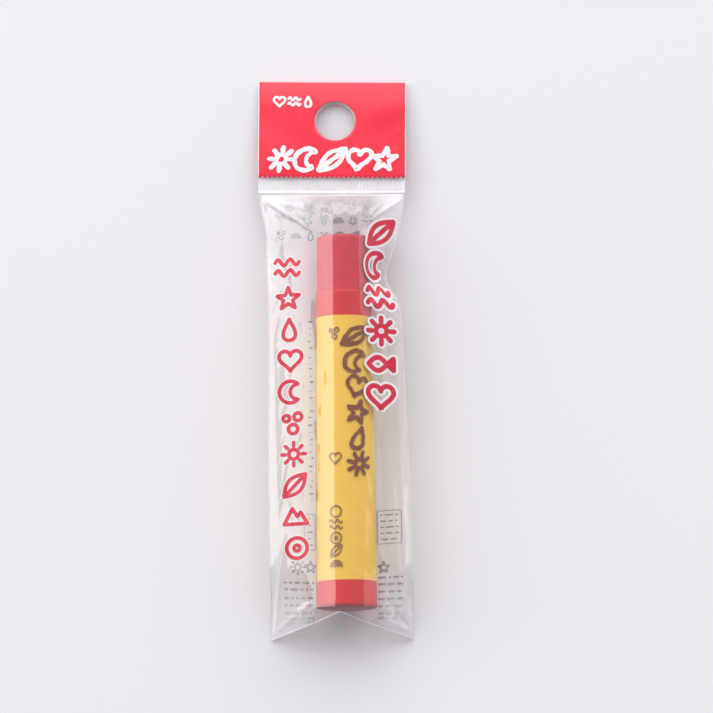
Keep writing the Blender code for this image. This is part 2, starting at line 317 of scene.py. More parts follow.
def pigment_material():
    """Pressed oil pigment: mottled, streaked along the stick, with a dull waxy shine and painted shade on
    the foot's end face.
    """
    n = Nodes("waxy_pigment")
    where = n.place()
    cloud = n.noise(where, 700.0, 4.0, 0.6)
    streak = n.noise(n.stretched(where, (2400.0, 160.0, 2400.0)), 1.0, 3.0)
    speck = n.noise(where, 5200.0, 2.0)
    colour = n.mix(n.ramp(cloud, 0.3, 0.7), rgb(0.60, 0.014, 0.045), rgb(0.70, 0.024, 0.062))
    colour = n.mix(n.ramp(streak, 0.58, 0.80, 0.0, 0.35), colour, rgb(0.70, 0.075, 0.105))
    colour = n.mix(n.ramp(speck, 0.62, 0.75, 0.0, 0.5), colour, rgb(0.34, 0.008, 0.020))
    along = n.add("SeparateXYZ", Vector=where).outputs["Y"]
    # painted shade: the foot's end face is darkened to stand in for the shadow it lies in
    foot_face_painted_shade = n.ramp(along, FOOT_Y + 0.05 * MM, FOOT_Y + 0.35 * MM, 0.85, 0.0)
    colour = n.mix(foot_face_painted_shade, colour, rgb(0.22, 0.006, 0.014))
    height = n.math("ADD", n.math("MULTIPLY", streak, 0.6), n.math("MULTIPLY", speck, 0.4))
    normal = n.bump(height, 0.35, 0.05 * MM)
    rough = n.ramp(cloud, 0.3, 0.7, 0.42, 0.60)
    shader = n.add("BsdfPrincipled", Base_Color=colour, Roughness=rough, Normal=normal)
    shader.inputs["Subsurface Weight"].default_value = 0.06
    shader.inputs["Subsurface Radius"].default_value = (0.6 * MM, 0.12 * MM, 0.12 * MM)
    return n.finish(shader.outputs[0])


def wrapper_material():
    """Coated paper with a yellow field between red bands; x is round the wrapper and y along it."""
    n = Nodes("printed_wrapper")
    spot = n.attribute("wrap")
    parts = n.add("SeparateXYZ", Vector=spot)
    along = parts.outputs["Y"]
    wander = n.math("MULTIPLY", n.math("SUBTRACT", n.noise(spot, 500.0), 0.5), 0.10 * MM)
    edge = n.math("ADD", along, wander)
    low_band = n.ramp(edge, FOOT_BAND - 0.03 * MM, FOOT_BAND + 0.03 * MM, 1.0, 0.0)
    high_band = n.ramp(edge, HEAD_BAND - 0.03 * MM, HEAD_BAND + 0.03 * MM)
    band = n.math("ADD", low_band, high_band, clamp=True)
    fibre = n.noise(n.stretched(spot, (5200.0, 1500.0, 1500.0)), 1.0, 4.0, 0.6)
    patch = n.noise(spot, 260.0, 2.0)
    dots = n.add("TexVoronoi", Vector=spot, Scale=7000.0).outputs["Distance"]
    yellow = n.mix(n.ramp(patch, 0.3, 0.7), rgb(0.90, 0.545, 0.052), rgb(0.94, 0.590, 0.068))
    red = n.mix(n.ramp(patch, 0.3, 0.7), rgb(0.66, 0.008, 0.014), rgb(0.73, 0.012, 0.020))
    colour = n.mix(band, yellow, red)
    colour = n.mix(n.ramp(fibre, 0.60, 0.85, 0.0, 0.30), colour, rgb(0.88, 0.66, 0.42))
    colour = n.mix(n.ramp(dots, 0.0, 0.35, 0.10, 0.0), colour, rgb(0.45, 0.16, 0.03))
    normal = n.bump(fibre, 0.25, 0.03 * MM)
    rough = n.ramp(fibre, 0.3, 0.7, 0.40, 0.55)
    shader = n.add("BsdfPrincipled", Base_Color=colour, Roughness=rough, Normal=normal)
    return n.finish(shader.outputs[0])


def paper_edge_material():
    n = Nodes("bare_paper")
    fibre = n.noise(n.place(), 6000.0, 3.0)
    colour = n.mix(fibre, rgb(0.66, 0.52, 0.46), rgb(0.88, 0.78, 0.70))
    shader = n.add("BsdfPrincipled", Base_Color=colour, Roughness=0.8)
    return n.finish(shader.outputs[0])


def ink_material(name, colour, thin, rough):
    """Printed ink: thin is its colour where the print is weak."""
    n = Nodes(name)
    where = n.place()
    patch = n.noise(where, 900.0, 3.0)
    speck = n.noise(where, 9000.0, 2.0)
    shade = n.mix(n.ramp(patch, 0.35, 0.75), colour, thin)
    shade = n.mix(n.ramp(speck, 0.60, 0.80, 0.0, 0.35), shade, thin)
    normal = n.bump(speck, 0.1, 0.01 * MM)
    shader = n.add("BsdfPrincipled", Base_Color=shade, Roughness=rough, Normal=normal)
    return n.finish(shader.outputs[0])


def film_material(name, haze, tint, relief=1.0, crumpled=0.0):
    """Clear film, one surface standing for both faces: mirror-like by Fresnel, else see-through.

    haze is how milky it is, relief scales its fine waves, and crumpled is how much it is whitened by
    creasing where the crayon does not stretch it: at both sides and towards both ends.
    """
    n = Nodes(name)
    where = n.place()
    slow = n.noise(n.stretched(where, (420.0, 130.0, 420.0)), 1.0, 3.0)
    fine = n.noise(n.stretched(where, (1500.0, 500.0, 1500.0)), 1.0, 2.0)
    facets = n.add("TexVoronoi", Vector=n.stretched(where, (260.0, 75.0, 260.0)), Scale=1.0)
    facets.feature = "SMOOTH_F1"
    normal = n.bump(fine, 0.08 * relief, 0.05 * MM)
    normal = n.bump(facets.outputs["Distance"], 0.10 * relief, 0.30 * MM, normal)
    normal = n.bump(slow, 0.20 * relief, 0.16 * MM, normal)
    facing = n.add("LayerWeight", Blend=0.5, Normal=normal).outputs["Facing"]
    share = n.ramp(n.math("POWER", facing, 5.0), 0.0, 1.0, TWO_FACES_GLOSS, 1.0)
    clear = n.add("BsdfTransparent", Color=tint).outputs[0]
    spread = 0.5 * (1 - haze)
    cloudy = n.ramp(n.noise(where, 300.0, 3.0), 0.3, 0.75, haze * (1 - spread), haze * (1 + spread))
    if crumpled:
        spot = n.add("SeparateXYZ", Vector=where)
        near_seal = n.ramp(spot.outputs["Y"], HEAD_Y - 1.0 * MM, SHOULDER_END, 0.0, 1.5 * crumpled)
        near_foot = n.ramp(spot.outputs["Y"], FOOT_Y + 7.0 * MM, FOLD_Y, 0.0, 1.9 * crumpled)
        off = n.math("ABSOLUTE", n.math("SUBTRACT", spot.outputs["X"], CRAYON_X))
        beside = n.ramp(off, FOOT_R, FOOT_R + 2.5 * MM)
        sides = n.math("MULTIPLY", beside, n.math("ADD", near_foot, 0.5 * crumpled))
        cloudy = n.math("ADD", cloudy, n.math("ADD", near_seal, sides), clamp=True)
    milk = n.add("BsdfDiffuse", Color=rgb(0.90, 0.89, 0.91)).outputs[0]
    body = n.add("MixShader", Fac=cloudy)
    n.set(body, "1", clear)
    n.set(body, "2", milk)
    smear = n.ramp(n.noise(where, 170.0, 2.0), 0.3, 0.7, 0.04, 0.09)
    gloss = n.add("BsdfAnisotropic", Color=rgb(1, 1, 1), Roughness=smear, Normal=normal).outputs[0]
    skin = n.add("MixShader", Fac=share)
    n.set(skin, "1", body.outputs[0])
    n.set(skin, "2", gloss)
    return n.finish(skin.outputs[0])


def header_material():
    """Red print under a gloss coat."""
    n = Nodes("red_header_print")
    where = n.place()
    patch = n.noise(where, 70.0, 1.0)
    fine = n.noise(where, 2600.0, 3.0)
    colour = n.mix(n.ramp(patch, 0.3, 0.7), rgb(0.85, 0.022, 0.054), rgb(0.90, 0.028, 0.066))
    colour = n.mix(n.ramp(fine, 0.62, 0.80, 0.0, 0.30), colour, rgb(0.98, 0.16, 0.20))
    card = n.add("SeparateXYZ", Vector=n.attribute("card"))
    wander = n.math("MULTIPLY", n.math("SUBTRACT", n.noise(where, 1400.0), 0.5), 0.10 * MM)
    across = n.math("ADD", n.math("ABSOLUTE", card.outputs["X"]), wander)
    side = n.ramp(across, HEADER_HALF - 0.16 * MM, HEADER_HALF - 0.10 * MM)
    along = n.math("ADD", card.outputs["Y"], wander)
    foot = n.ramp(along, HEADER_FOOT + 0.04 * MM, HEADER_FOOT + 0.10 * MM, 1.0, 0.0)
    colour = n.mix(n.math("ADD", side, foot, clamp=True), colour, rgb(0.88, 0.84, 0.86))
    normal = n.bump(n.noise(where, 300.0, 2.0), 0.05, 0.10 * MM, n.bump(fine, 0.08, 0.02 * MM))
    rough = n.ramp(patch, 0.3, 0.7, 0.24, 0.36)
    shader = n.add("BsdfPrincipled", Base_Color=colour, Roughness=rough, Normal=normal)
    shader.inputs["Coat Weight"].default_value = 0.15
    shader.inputs["Coat Roughness"].default_value = 0.20
    return n.finish(shader.outputs[0])


def stock_material():
    """The header's bare white stock, inside and on its cut edges."""
    n = Nodes("white_header_stock")
    where = n.place()
    fibre = n.noise(where, 4200.0, 3.0)
    colour = n.mix(fibre, rgb(0.80, 0.76, 0.78), rgb(0.93, 0.90, 0.92))
    shader = n.add("BsdfPrincipled", Base_Color=colour, Roughness=0.55)
    n.set(shader, "Normal", n.bump(fibre, 0.15, 0.02 * MM))
    return n.finish(shader.outputs[0])


def floor_material():
    n = Nodes("pale_table")
    where = n.place()
    cloud = n.noise(where, 9.0, 3.0)
    colour = n.mix(cloud, rgb(0.815, 0.800, 0.832), rgb(0.845, 0.830, 0.860))
    shader = n.add("BsdfPrincipled", Base_Color=colour, Roughness=0.62)
    n.set(shader, "Normal", n.bump(n.noise(where, 900.0, 3.0), 0.05, 0.05 * MM))
    return n.finish(shader.outputs[0])


# Doodles: each is a list of strokes in a box from -0.5 to 0.5


def curve(path, first=0.0, last=1.0, steps=40):
    return [path(t) for t in stations(first, last, steps)]


def polyline(*corners):
    """Straight strokes between corners, one by one, so that their round ends make round corners."""
    sides = zip(corners, corners[1:])
    return [[Vector(a).lerp(Vector(b), t) for t in stations(0, 1, 12)] for a, b in sides]


def on_circle(centre, radius, turn):
    angle = 2 * math.pi * turn
    return Vector(centre) + Vector((math.cos(angle), math.sin(angle))) * radius


def ring(centre=(0.0, 0.0), radius=0.42):
    return [curve(lambda t: on_circle(centre, radius, t))]


def moon():
    outer = [on_circle((-0.05, 0), 0.45, t) for t in stations(0.12, 0.88, 36)]
    inner = [on_circle((0.26, 0), 0.31, t) for t in stations(0.72, 0.28, 24)]
    return [outer + inner + outer[:2]]


def drop():
    def path(t):
        a = 2 * math.pi * t
        return Vector((0.36 * math.sin(a) * abs(math.sin(a / 2)) ** 1.5, 0.44 * math.cos(a)))

    return [curve(path, steps=50)]


def fish():
    def side(bulge):
        return curve(lambda t: Vector((0.68 * t - 0.46, bulge * math.sin(math.pi * t))))

    return [side(0.24), side(-0.24)] + polyline((0.22, 0.0), (0.46, 0.22), (0.46, -0.22), (0.22, 0.0))


def mountain():
    return polyline((-0.48, -0.30), (-0.14, 0.34), (0.06, 0.0), (0.20, 0.18), (0.48, -0.30), (-0.48, -0.30))


def target():
    return ring() + ring(radius=0.12)


def wave():
    rows = []
    for level in (0.25, -0.2):
        rows.append(curve(lambda t: Vector((t - 0.5, level + 0.13 * math.sin(4 * math.pi * t)))))
    return rows


def star():
    corners = [on_circle((0, 0), 0.48 if i % 2 == 0 else 0.20, 0.25 + i / 10) for i in range(11)]
    return polyline(*corners)


def heart():
    def path(t):
        a = 2 * math.pi * t
        x = 16 * math.sin(a) ** 3
        y = 13 * math.cos(a) - 5 * math.cos(2 * a) - 2 * math.cos(3 * a) - math.cos(4 * a)
        return Vector((x, y + 2)) / 34

    return [curve(path, steps=60)]


def sun():
    rays = []
    for i in range(8):
        rays.append([on_circle((0, 0), r, i / 8) for r in stations(0.34, 0.49, 8)])
    return ring(radius=0.20) + rays


def leaf():
    def side(bulge):
        def path(t):
            return Vector((t - 0.5, t - 0.5)) * 0.9 + Vector((-1, 1)) * bulge * math.sin(math.pi * t)

        return curve(path)

    return [side(0.22), side(-0.22), side(0.0)]


def rainbow():
    arcs = []
    for radius in (0.46, 0.30, 0.14):
        arcs.append([on_circle((0, -0.28), radius, t) for t in stations(0.0, 0.5, 30)])
    return arcs


def pebbles():
    return ring((-0.25, 0.2), 0.13) + ring((0.22, 0.25), 0.16) + ring((0.02, -0.25), 0.19)


def sprout():
    """A stem with a leaf to each side."""
    def blade(side, bulge):
        return curve(lambda t: Vector((side * 0.42 * t, -0.02 + 0.42 * t + bulge * math.sin(math.pi * t))))

    stem = curve(lambda t: Vector((0.04 * math.sin(math.pi * t), 0.46 * t - 0.46)))
    return [stem, blade(-1, 0.14), blade(-1, -0.10), blade(1, 0.14), blade(1, -0.10)]


# Prints


def resampled(points, step):
    """The polyline's points at an even step."""
    out = [points[0]]
    carry = 0.0
    for a, b in zip(points, points[1:]):
        length = (b - a).length
        while length > 0 and carry + length >= step:
            a = a.lerp(b, (step - carry) / length)
            length = (b - a).length
            carry = 0.0
            out.append(a)
        carry += length
    out.append(points[-1])
    return out


class Print:
    """Strokes laid on a surface. place(x, y) gives the point of the surface that a flat point lies on.

    Strokes rise by a hair as they are drawn, so that where they cross no two faces coincide.
    """

    def __init__(self, name, place, step):
        self.name = name
        self.place = place
        self.step = step
        self.rise = 0.0
        self.verts = []
        self.faces = []

    def stroke(self, points, width, brush=0.0, seed=0.0, taper=0.0):
        """A strip with round ends; brush is how far its sides wander, as a share of its width."""
        points = resampled(points, self.step)
        if len(points) < 2:
            return
        reach = [0.0]
        for a, b in zip(points, points[1:]):
            reach.append(reach[-1] + (b - a).length)
        total = reach[-1]
        half = width / 2
        first = len(self.verts)
        columns = max(round(width / self.step), 1)
        for i, point in enumerate(points):
            ahead = points[min(i + 1, len(points) - 1)]
            behind = points[max(i - 1, 0)]
            way = (ahead - behind).normalized()
            across = Vector((-way.y, way.x))
            end_gap = min(reach[i], total - reach[i])
            cap = math.sqrt(max(1 - (1 - min(end_gap / half, 1)) ** 2, 0.0))
            cap *= 1 - taper * reach[i] / total
            for share in stations(-1.0, 1.0, columns):
                side = math.copysign(1, share)
                wander = 1 + brush * grain(reach[i] / (0.8 * width), 7.3 * side + seed, 0.5)
                wander += 0.35 * brush * grain(reach[i] / (0.15 * width), 3.1 * side + seed, 2.5)
                spot = self.place(*(point + across * share * half * cap * wander))
                self.verts.append(spot + Vector((0, 0, self.rise + STROKE_RISE * reach[i] / total)))
        self.rise += STROKE_RISE / 3
        for i in range(len(points) - 1):
            for j in range(columns):
                k = first + i * (columns + 1) + j
                self.faces.append((k, k + 1, k + columns + 2, k + columns + 1))

    def doodle(self, strokes, centre, size, width, turn=0.0, brush=0.0, slant=0.0, taper=0.0):
        rotation = Matrix.Rotation(turn, 2)
        for number, points in enumerate(strokes):
            laid = []
            for p in points:
                flat = rotation @ Vector((p.x + slant * p.y, p.y)) * size
                laid.append(Vector(centre) + flat)
            grow = [laid[0] + (laid[0] - laid[1]).normalized() * width * 0.45, *laid]
            grow.append(laid[-1] + (laid[-1] - laid[-2]).normalized() * width * 0.45)
            self.stroke(grow, width, brush, number * 1.7 + centre[0] / MM, taper)

    def bar(self, centre, length, height):
        way = Vector((length / 2, 0.0))
        self.stroke([Vector(centre) - way, Vector(centre) + way], height)

    def box(self, low, high, width):
        corners = [Vector(c) for c in (low, (high[0], low[1]), high, (low[0], high[1]), low)]
        for a, b in zip(corners, corners[1:]):
            self.stroke([a, b], width)

    def piece(self, mat, body):
        mesh = bpy.data.meshes.new(self.name)
        mesh.from_pydata(self.verts, [], self.faces)
        mesh.shade_smooth()
        item = new_object(self.name, mesh, mat)
        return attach(item, body)


# Crayon


def stick_radius(along):
    return blend(FOOT_R, HEAD_R, along / STICK_LENGTH)


def on_crayon(radius, angle, along):
    """angle is 0 at +X and a quarter turn at the top."""
    return CRAYON_PLACE @ Vector((radius * math.cos(angle), along, radius * math.sin(angle)))


def stick_profile():
    """(radius, along) from the middle of the foot's face to the middle of the head's."""
    points = [(FOOT_R * share, 0.0) for share in stations(0.0, 0.9, 9)]
    for angle in stations(-math.pi / 2, 0.0, 6):
        points.append((FOOT_R - STICK_EDGE + STICK_EDGE * math.cos(angle),
                       STICK_EDGE * (1 + math.sin(angle))))
    for along in stations(2 * STICK_EDGE, STICK_LENGTH - 2 * STICK_EDGE, 150):
        points.append((stick_radius(along), along))
    for angle in stations(0.0, math.pi / 2, 6):
        points.append((HEAD_R - STICK_EDGE + STICK_EDGE * math.cos(angle),
                       STICK_LENGTH - STICK_EDGE * (1 - math.sin(angle))))
    return points + [(HEAD_R * share, STICK_LENGTH) for share in stations(0.9, 0.0, 9)]


def make_stick():
    rows = []
    for radius, along in stick_profile():
        bare = smooth_step((along - WRAPPER_END - 0.3 * MM) / (0.8 * MM))
        face = 1 - smooth_step((along - 0.2 * MM) / (0.4 * MM))
        row = []
        for i in range(STICK_SIDES):
            angle = 2 * math.pi * i / STICK_SIDES
            c, s = math.cos(angle), math.sin(angle)
            dent = 0.035 * grain(c * 2.2, s * 2.2, along / (3 * MM))
            dent += 0.015 * grain(c * 9, s * 9, along / MM)
            chip = max(grain(c * 4, s * 4, along / (0.7 * MM) + 5) - 0.32, 0.0)
            near_rim = smooth_step((along - STICK_LENGTH + 0.9 * MM) / (0.5 * MM)) + face
            inward = (abs(dent) + 0.45 * chip * near_rim) * MM * max(bare, face)
            shift = inward if along > STICK_LENGTH / 2 else -inward
            lying = radius < stick_radius(along) - STICK_EDGE * 0.95
            row.append(on_crayon(radius - (0 if lying else inward), angle, along - (shift if lying else 0)))
        rows.append(row)
    stick = new_object("waxy_stick", grid_mesh("waxy_stick", rows, closed=True), pigment_material())
    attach(stick, "crayon")
    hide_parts("pigment_stick")


def wrapper_radius(turns, along):
    """The middle of the paper, from its inner end over a little more than one turn."""
    climb = smooth_step((turns - (2 - WRAPPER_TURNS)) / (WRAPPER_TURNS - 1))
    return stick_radius(along) + PAPER_GAP + PAPER / 2 + climb * (PAPER_GAP + PAPER)


def wrapper_top(turns):
    """The paper's upper edge: cut a little unevenly, with a nick beside the crayon's top."""
    nick = 0.9 * MM * math.exp(-(((turns - 0.508) / 0.010) ** 2))
    return WRAPPER_END + 0.07 * MM * grain(turns * 22, 1.5) - nick


def make_wrapper():
    rows, spots = [], []
    for share in stations(0.0, 1.0, 130):
        row = []
        for turns in stations(0.0, WRAPPER_TURNS, 220):
            along = blend(WRAPPER_START, wrapper_top(turns), share)
            angle = LAP_ANGLE - 2 * math.pi * turns
            ripple = 0.025 * MM * grain(turns * 9, along / (6 * MM), 4.0)
            row.append(on_crayon(wrapper_radius(turns, along) + ripple, angle, along))
            spots.append((turns * 2 * math.pi * FOOT_R, along, 0.0))
        rows.append(row)
    mesh = grid_mesh("printed_wrapper", rows)
    store_vectors(mesh, "wrap", spots)
    wrapper = new_object("printed_wrapper", mesh, wrapper_material(), paper_edge_material())
    shell = wrapper.modifiers.new("Solidify", "SOLIDIFY")
    shell.thickness = PAPER
    shell.offset = 0.0
    shell.material_offset_rim = 1
    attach(wrapper, "crayon")
    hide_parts("paper_wrapper")


def on_label(x, y):
    """x is measured round the wrapper from its top line, y from the crayon's foot."""
    radius = stick_radius(y) + 2 * (PAPER_GAP + PAPER) + INK_LIFT
    return on_crayon(radius, math.pi / 2 - x / radius, y)


def make_label_prints():
    bold = Print("brown_label_doodles", on_label, 0.12 * MM)
    shapes = (leaf, moon, heart, star, drop, sun)
    for number, shape in enumerate(shapes):
        centre = ((2.2 + 0.10 * number) * MM, (48.9 - 4.65 * number) * MM)
        bold.doodle(shape(), centre, 4.4 * MM, 0.86 * MM, turn=-0.2, brush=0.4, slant=0.15, taper=0.25)
    fine = Print("small_label_doodles", on_label, 0.10 * MM)
    for shape, along in ((pebbles, 49.4), (heart, 26.6), (ring, 17.0), (wave, 14.6), (target, 12.2),
                         (leaf, 9.9), (rainbow, 7.7)):
        fine.doodle(shape(), (-1.9 * MM, along * MM), 2.4 * MM, 0.28 * MM)
    brown = ink_material("brown_ink", rgb(0.20, 0.038, 0.008), rgb(0.28, 0.070, 0.018), 0.45)
    pale = ink_material("ochre_ink", rgb(0.25, 0.10, 0.015), rgb(0.36, 0.17, 0.04), 0.45)
    bold.piece(brown, "crayon")
    fine.piece(pale, "crayon")


# Pouch


def half_width(y):
    for (y0, w0), (y1, w1) in zip(OUTLINE, OUTLINE[1:]):
        if y <= y1:
            return blend(w0, w1, smooth_step((y - y0) / (y1 - y0)))
    return OUTLINE[-1][1]


def middle_x(y):
    return blend(FOOT_X, RIDGE.x, (y + HALF_LENGTH) / (RIDGE.y + HALF_LENGTH))


def edge_z(y):
    """Height of the welded side edges."""
    climb = blend(CORNER_Z, EDGE_Z, smooth_step((y - FOLD_Y) / EDGE_CLIMB))
    return blend(climb, RIDGE.z, smooth_step((y - EDGE_FALL_Y) / (RIDGE.y - EDGE_FALL_Y)))


def edge_x(y, side):
    """Where a side edge is: the right one is pinched in, and both wander a little."""
    wander = 0.10 * MM * grain(y / (7 * MM), 4.0 * side)
    reach = half_width(y) - 0.15 * MM + wander
    if side > 0:
        away = (y - PINCH_Y) / MM
        reach -= PINCH * math.exp(-((away / (5.5 if away > 0 else 3.6)) ** 2))
    return middle_x(y) + side * reach


def tent(y):
    share = min(max((y - HEAD_Y) / (SHOULDER_END - HEAD_Y), 0.0), 1.0)
    return (1 - share**4) ** (2 / 3)


def film_section(y):
    """The crayon's middle and the film's radius over it at y."""
    along = min(max(y, FOOT_Y), HEAD_Y) - FOOT_Y
    radius = stick_radius(along) + PAPER_GAP + PAPER + FILM_CLEAR
    return Vector((CRAYON_X, FOOT_Z - along * math.tan(STICK_TILT))), radius


def taut_z(x, y):
    """Height of the front film before its creases, and how free it is there: 0 over the crayon."""
    centre, radius = film_section(y)
    side = -1 if x < centre.x else 1
    edge = Vector((edge_x(y, side), edge_z(y)))
    reach = edge - centre
    lean = math.atan2(reach.y, side * reach.x) + math.acos(radius / reach.length)
    tangent = centre + radius * Vector((side * math.cos(lean), math.sin(lean)))
    out = side * (x - tangent.x)
    if out <= 0:
        height = centre.y + math.sqrt(max(radius**2 - (x - centre.x) ** 2, 0.0))
    else:
        height = blend(tangent.y, edge.y, out / (side * (edge.x - tangent.x)))
    inside = smooth_step(side * (edge.x - x) / (1.2 * MM))
    free = smooth_step(out / (1.6 * MM))
    beyond = smooth_step((y - HEAD_Y - 3.0 * MM) / (3.0 * MM))
    below_seal = smooth_step((SHOULDER_END - y) / (1.0 * MM))
    return blend(edge.y, height, tent(y)), max(free, beyond) * inside * below_seal


def from_line(x, y, start, end):
    """Distance from a line on the side that it turns its left to, and the share along it."""
    way_x = end[0] - start[0]
    way_y = end[1] - start[1]
    off_x = x - start[0]
    off_y = y - start[1]
    length = math.hypot(way_x, way_y)
    share = (off_x * way_x + off_y * way_y) / length**2
    return (way_x * off_y - way_y * off_x) / length, share


def small_creases():
    """Short random creases in the loose film beside the crayon and above it."""
    draw = random.Random(5)
    made = []
    for _ in range(46):
        side = draw.choice((-1, 1))
        start = (side * draw.uniform(7.5, 12.5), draw.uniform(-48.0, 28.0))
        turn = math.pi / 2 + draw.uniform(-0.5, 0.5)
        reach = draw.uniform(3.0, 9.0)
        end = (start[0] + reach * math.cos(turn), start[1] + reach * math.sin(turn))
        made.append((start, end, draw.choice((-1, 1)) * draw.uniform(0.04, 0.11), draw.uniform(0.16, 0.30)))
    for _ in range(14):
        start = (draw.uniform(-10.0, 10.0), draw.uniform(25.0, 29.5))
        end = (blend(start[0], 1.6, 0.55), draw.uniform(21.5, 24.0))
        made.append((start, end, draw.choice((-1, 1)) * draw.uniform(0.06, 0.16), draw.uniform(0.18, 0.32)))
    return made


ALL_CREASES = [*CREASES, *small_creases()]


def crease_z(x, y):
    x, y = x / MM, y / MM
    total = 0.14 * grain(x / 2.6, y / 11, 1.0) + 0.04 * grain(x, y / 3.5, 6.0)
    for start, end, height, width in ALL_CREASES:
        low, high = (start[1], end[1]) if start[1] < end[1] else (end[1], start[1])
        if y < low - CREASE_MARGIN or y > high + CREASE_MARGIN:
            continue
        off, share = from_line(x, y, start, end)
        if -0.1 < share < 1.1:
            fade = smooth_step((share + 0.1) / 0.3) * smooth_step((1.1 - share) / 0.3)
            total += height * fade * math.exp(-abs(off / width) ** 1.1)
    return total * MM


def film_z(x, y):
    height, free = taut_z(x, y)
    return height + free * crease_z(x, y)


def bed_z(x, y):
    """Height of the back film: flat under the crayon, and straight up to both edges."""
    edge = edge_z(y)
    low = blend(edge, 0.05 * MM, tent(y))
    side = -1 if x < CRAYON_X else 1
    inner = CRAYON_X + side * BED_HALF
    rise = min(max((x - inner) / (edge_x(y, side) - inner), 0.0), 1.0)
    ripple = 0.10 * MM * grain(x / (3 * MM), y / (8 * MM), 9.0) * math.sin(math.pi * rise)
    return blend(low, edge, rise) + max(ripple, -rise * MM)


def fold_point(x):
    """The foot's fold, drawn up to a blunt peak at the crayon's end."""
    off = x - FOLD_PEAK_X
    corner = FOOT_X - FOLD_PEAK_X + math.copysign(OUTLINE[0][1], off)
    drawn = 1 - min(math.hypot(off, FOLD_BLUNT) / abs(corner), 1.0) ** FOLD_POWER
    return Vector((x, FOLD_Y + FOLD_PULL * drawn, CORNER_Z + FOLD_LIFT * drawn))


def sheet_point(height, x, y):
    """A point of a film sheet; beyond the crayon's foot the sheet runs straight down to the fold."""
    if y >= TURN_Y:
        return Vector((x, y, height(x, y)))
    fold = fold_point(x)
    share = max((y - fold.y) / (TURN_Y - fold.y), 0.0)
    point = fold.lerp(Vector((x, TURN_Y, height(x, TURN_Y))), share)
    if height is film_z:
        point.z += 0.8 * math.sin(math.pi * share) * crease_z(x, y)
    return point


def film_rows(height, columns, step):
    """From the fold across the foot, up over the crayon, to the ridge."""
    rows = []
    for share in stations(0.0, 1.0, 16)[:-1]:
        xs = stations(edge_x(TURN_Y, -1), edge_x(TURN_Y, 1), columns)
        rows.append([sheet_point(height, x, blend(fold_point(x).y, TURN_Y, share)) for x in xs])
    for y in stations(TURN_Y, SHOULDER_END, round((SHOULDER_END - TURN_Y) / step)):
        xs = stations(edge_x(y, -1), edge_x(y, 1), columns)
        rows.append([sheet_point(height, x, y) for x in xs])
    return rows


def make_films(front_mat, back_mat):
    front_mesh = grid_mesh("front_film_sheet", film_rows(film_z, 200, 0.2 * MM))
    back_mesh = grid_mesh("back_film_sheet", film_rows(bed_z, 80, 0.5 * MM))
    front = new_object("front_film_sheet", front_mesh, front_mat)
    back = new_object("back_film_sheet", back_mesh, back_mat)
    for sheet, node in ((front, "front_film"), (back, "back_film")):
        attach(sheet, "pouch")
        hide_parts(node)


def tube(name, points, radius, mat, sides=10):
    rows = []
    for i, point in enumerate(points):
        way = (points[min(i + 1, len(points) - 1)] - points[max(i - 1, 0)]).normalized()
        across = way.cross(Vector((0, 0, 1))).normalized()
        up = across.cross(way)
        rows.append([
            point + (across * math.cos(a) + up * math.sin(a)) * radius(i / (len(points) - 1))
            for a in (2 * math.pi * k / sides for k in range(sides))
        ])
    mesh = grid_mesh(name, rows, closed=True)
    return new_object(name, mesh, mat)


def make_edges(mat):
    welds = (("left_weld_bead", "left_side_weld", -1), ("right_weld_bead", "right_side_weld", 1))
    for name, node, side in welds:
        ys = stations(FOLD_Y + 0.3 * MM, SHOULDER_END, 240)
        points = [Vector((edge_x(y, side), y, edge_z(y))) for y in ys]
        bead = tube(name, points, lambda t: (0.11 + 0.04 * grain(t * 60, side)) * MM, mat)
        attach(bead, "pouch")
        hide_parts(node)
    points = [fold_point(x) for x in stations(edge_x(FOLD_Y, -1), edge_x(FOLD_Y, 1), 200)]
    fold = tube("foot_fold_crease", points, lambda t: 0.12 * MM, mat)
    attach(fold, "pouch")
    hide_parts("bottom_fold")


def drawn_in(x, y):
    """Where the right edge is pinched in, the film's print is squeezed towards it."""
    free = middle_x(y) + half_width(y)
    start = 0.45 * free
    if x <= start:
        return x
    return start + (x - start) * (edge_x(y, 1) - start) / (free - start)


def on_front(lift):
    def place(x, y):
        x = drawn_in(x, y)
        return sheet_point(film_z, x, y) + Vector((0, 0, lift))

    return place


def make_film_prints():
    left_shapes = (wave, star, drop, heart, moon, pebbles, sun, leaf, mountain, target)
    left_size, left_stroke, left_halo, left_pitch = 4.4 * MM, 0.70 * MM, 1.05 * MM, 5.68
    right_shapes = (leaf, moon, wave, sun, fish, heart)
    right_size, right_stroke, right_halo, right_pitch = 5.0 * MM, 0.90 * MM, 1.75 * MM, 6.05
    halo = Print("white_halo_print", on_front(HALO_LIFT), 0.2 * MM)
    red = Print("red_film_doodles", on_front(FILM_INK_LIFT), 0.15 * MM)
    for number, shape in enumerate(left_shapes):
        centre = (blend(-8.6 * MM, -7.3 * MM, number / 9), (15.9 - left_pitch * number) * MM)
        red.doodle(shape(), centre, left_size, left_stroke)
        halo.doodle(shape(), centre, left_size, left_halo)
    for number, shape in enumerate(right_shapes):
        centre = (blend(8.7 * MM, 8.2 * MM, number / 5), (22.2 - right_pitch * number) * MM)
        red.doodle(shape(), centre, right_size, right_stroke)
        halo.doodle(shape(), centre, right_size, right_halo)
    red_ink = ink_material("red_film_ink", rgb(0.60, 0.012, 0.045), rgb(0.68, 0.028, 0.066), 0.35)
    white_ink = ink_material("white_film_ink", rgb(0.86, 0.84, 0.86), rgb(0.78, 0.76, 0.78), 0.4)
    halo.piece(white_ink, "pouch")
    red.piece(red_ink, "pouch")


def on_bed(x, y):
    return sheet_point(bed_z, x, y) + Vector((0, 0, BACK_INK_LIFT))


def greeked_line(grey, draw, y, first, last, height):
    """A line of small print, drawn as plain dashes."""
    x = first
    while x < last:
        end = min(x + draw.uniform(0.5, 1.6), last)
        grey.bar((blend(x, end, 0.5) * MM, y * MM), (end - x) * MM, height * MM)
        x = end + 0.28


